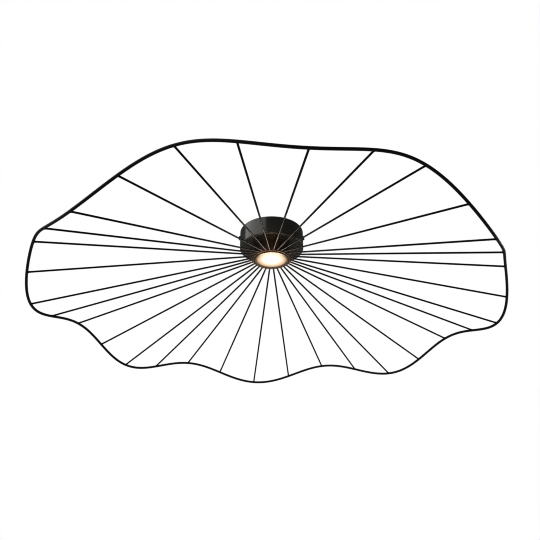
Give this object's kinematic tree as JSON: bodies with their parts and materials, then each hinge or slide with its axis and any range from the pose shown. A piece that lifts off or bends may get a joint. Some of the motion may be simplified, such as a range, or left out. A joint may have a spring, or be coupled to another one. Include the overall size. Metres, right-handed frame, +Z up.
{
  "type": "led ceiling light",
  "caption": "Flush LED ceiling light: a black drum, a short round LED head and a fan of thin straight rods out to a closed wavy rim.",
  "frame": {"origin": "middle of the bracket's upper face, on the ceiling", "axes": "+Z up into the ceiling; +X along the bracket, through the two ceiling screws and the two side screws"},
  "size_m": [0.8048, 0.8378, 0.1667],
  "materials": {
    "black_paint": "satin black powder coat",
    "black_rod_paint": "satin black paint on steel rod",
    "black_aluminium": "black painted aluminium",
    "black_steel": "black oxide screw steel",
    "zinc_steel": "zinc plated sheet and screws",
    "brass": "plain brass",
    "white_nylon": "moulded nylon",
    "black_rubber": "soft rubber",
    "foam_pad": "soft pad",
    "clear_silicone": "pale silicone",
    "circuit_board": "green circuit board",
    "driver_parts": "wound coil and capacitors",
    "led_board": "white solder mask on aluminium",
    "led_chips": "LED packages",
    "opal_diffuser": "opal diffuser, lit warm white",
    "lead_green": "insulated earth lead",
    "lead_brown": "insulated mains leads",
    "lead_red": "insulated LED leads"
  },
  "bodies": {
    "lamp": {"ceiling_bracket": "zinc_steel", "cable_grommet": "black_rubber", "terminal_block": "white_nylon", "terminal_sleeves": "brass", "terminal_screws": "zinc_steel", "block_screw": "zinc_steel", "earth_screw": "brass", "earth_tags": "brass", "earth_leads": "lead_green", "mains_leads": "lead_brown", "led_leads": "lead_red", "canopy_shell": "black_paint", "driver_pad": "foam_pad", "driver_case": "white_nylon", "driver_lid": "white_nylon", "driver_board": "circuit_board", "driver_parts": "driver_parts", "stem_tube": "zinc_steel", "stem_washer": "zinc_steel", "stem_nut": "zinc_steel", "led_housing": "black_aluminium", "heat_pad": "foam_pad", "led_board": "led_board", "led_chips": "led_chips", "board_screws": "zinc_steel", "reflector": "white_nylon", "spoke_hub": "black_rod_paint", "rim_rod": "black_rod_paint", "spokes_1": "black_rod_paint", "spokes_2": "black_rod_paint", "spokes_3": "black_rod_paint", "spokes_4": "black_rod_paint", "spokes_5": "black_rod_paint", "spokes_6": "black_rod_paint", "spokes_7": "black_rod_paint", "spokes_8": "black_rod_paint"},
    "lens_stack": {"diffuser_lens": "opal_diffuser", "lens_gasket": "clear_silicone"},
    "front_ring": {"bezel_ring": "black_aluminium"},
    "left_washer": {"side_washer_left": "black_steel"},
    "left_screw": {"side_screw_left": "black_steel"},
    "right_washer": {"side_washer_right": "black_steel"},
    "right_screw": {"side_screw_right": "black_steel"}
  },
  "joints": [
    {"name": "lens_drop", "type": "slide", "parent": "lamp", "child": "lens_stack", "axis": [0, 0, -1], "range_m": [0, 0.004]},
    {"name": "front_ring_turn", "type": "hinge", "parent": "lens_stack", "child": "front_ring", "pos_m": [0, 0, -0.0563], "axis": [0, 0, 1], "range_deg": [0, 1440]},
    {"name": "left_washer_slide", "type": "slide", "parent": "lamp", "child": "left_washer", "axis": [-1, 0, 0], "range_m": [0, 0.0049]},
    {"name": "left_screw_turn", "type": "hinge", "parent": "left_washer", "child": "left_screw", "pos_m": [-0.0576, 0, -0.0095], "axis": [-1, 0, 0], "range_deg": [0, 2520]},
    {"name": "right_washer_slide", "type": "slide", "parent": "lamp", "child": "right_washer", "axis": [1, 0, 0], "range_m": [0, 0.0049]},
    {"name": "right_screw_turn", "type": "hinge", "parent": "right_washer", "child": "right_screw", "pos_m": [0.0576, 0, -0.0095], "axis": [1, 0, 0], "range_deg": [0, 2520]}
  ],
  "couplings": [
    {"joint": "front_ring_turn", "follows": "lens_drop", "rad_per_m": 6283.2},
    {"joint": "left_screw_turn", "follows": "left_washer_slide", "rad_per_m": 8976},
    {"joint": "right_screw_turn", "follows": "right_washer_slide", "rad_per_m": 8976}
  ]
}
